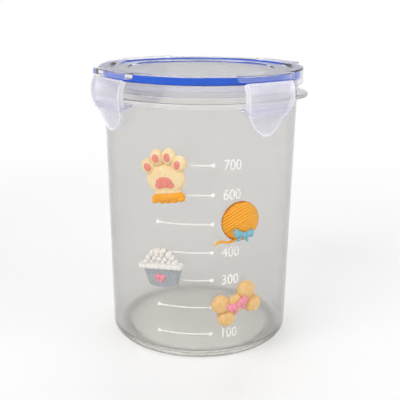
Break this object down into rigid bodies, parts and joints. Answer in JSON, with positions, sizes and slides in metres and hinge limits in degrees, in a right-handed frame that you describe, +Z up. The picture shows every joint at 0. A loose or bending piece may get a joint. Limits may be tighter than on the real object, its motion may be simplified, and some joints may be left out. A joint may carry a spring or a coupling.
{
  "type": "pet food storage bin",
  "caption": "Clear round canister with a foot ring, a sealed lid held by hinged snap latches, and pet-themed resin charms on the front.",
  "frame": {"origin": "centre of the foot ring, on the surface that the bin stands on", "axes": "+Z up along the bin's axis, -Y towards the printed front, +X to the right as seen from the front"},
  "size_m": [0.11, 0.1085, 0.142],
  "materials": {
    "clear_plastic": "gloss, clear",
    "latch_plastic": "gloss, slightly milky",
    "blue_silicone": "satin",
    "cream_resin": "gloss",
    "orange_resin": "gloss",
    "grey_resin": "gloss",
    "tan_resin": "gloss",
    "white_resin": "gloss",
    "pink_resin": "gloss",
    "pale_blue_resin": "gloss",
    "clear_glue": "gloss, clear",
    "print_ink": "matt white screen print"
  },
  "bodies": {
    "bin": {"bin_body": "clear_plastic", "charm_paw": "cream_resin", "charm_yarn": "orange_resin", "charm_bowl": "grey_resin", "charm_bone": "tan_resin", "glue_paw": "clear_glue", "glue_yarn": "clear_glue", "glue_bowl": "clear_glue", "glue_bone": "clear_glue"},
    "lid": {"lid": "clear_plastic", "seal_ring": "blue_silicone"},
    "latch_front_right": {"latch_front_right": "latch_plastic"},
    "latch_back_right": {"latch_back_right": "latch_plastic"},
    "latch_back_left": {"latch_back_left": "latch_plastic"},
    "latch_front_left": {"latch_front_left": "latch_plastic"}
  },
  "joints": [
    {"name": "lid_lift", "type": "slide", "parent": "bin", "child": "lid", "axis": [0, 0, 1], "range_m": [0, 0.06]},
    {"name": "latch_front_right_hinge", "type": "hinge", "parent": "lid", "child": "latch_front_right", "pos_m": [0.03163, -0.04402, 0.139], "axis": [-0.8121, -0.5835, 0], "range_deg": [0, 130]},
    {"name": "latch_back_right_hinge", "type": "hinge", "parent": "lid", "child": "latch_back_right", "pos_m": [0.04402, 0.03163, 0.139], "axis": [0.5835, -0.8121, 0], "range_deg": [0, 130]},
    {"name": "latch_back_left_hinge", "type": "hinge", "parent": "lid", "child": "latch_back_left", "pos_m": [-0.03163, 0.04402, 0.139], "axis": [0.8121, 0.5835, 0], "range_deg": [0, 130]},
    {"name": "latch_front_left_hinge", "type": "hinge", "parent": "lid", "child": "latch_front_left", "pos_m": [-0.04402, -0.03163, 0.139], "axis": [-0.5835, 0.8121, 0], "range_deg": [0, 130]}
  ]
}
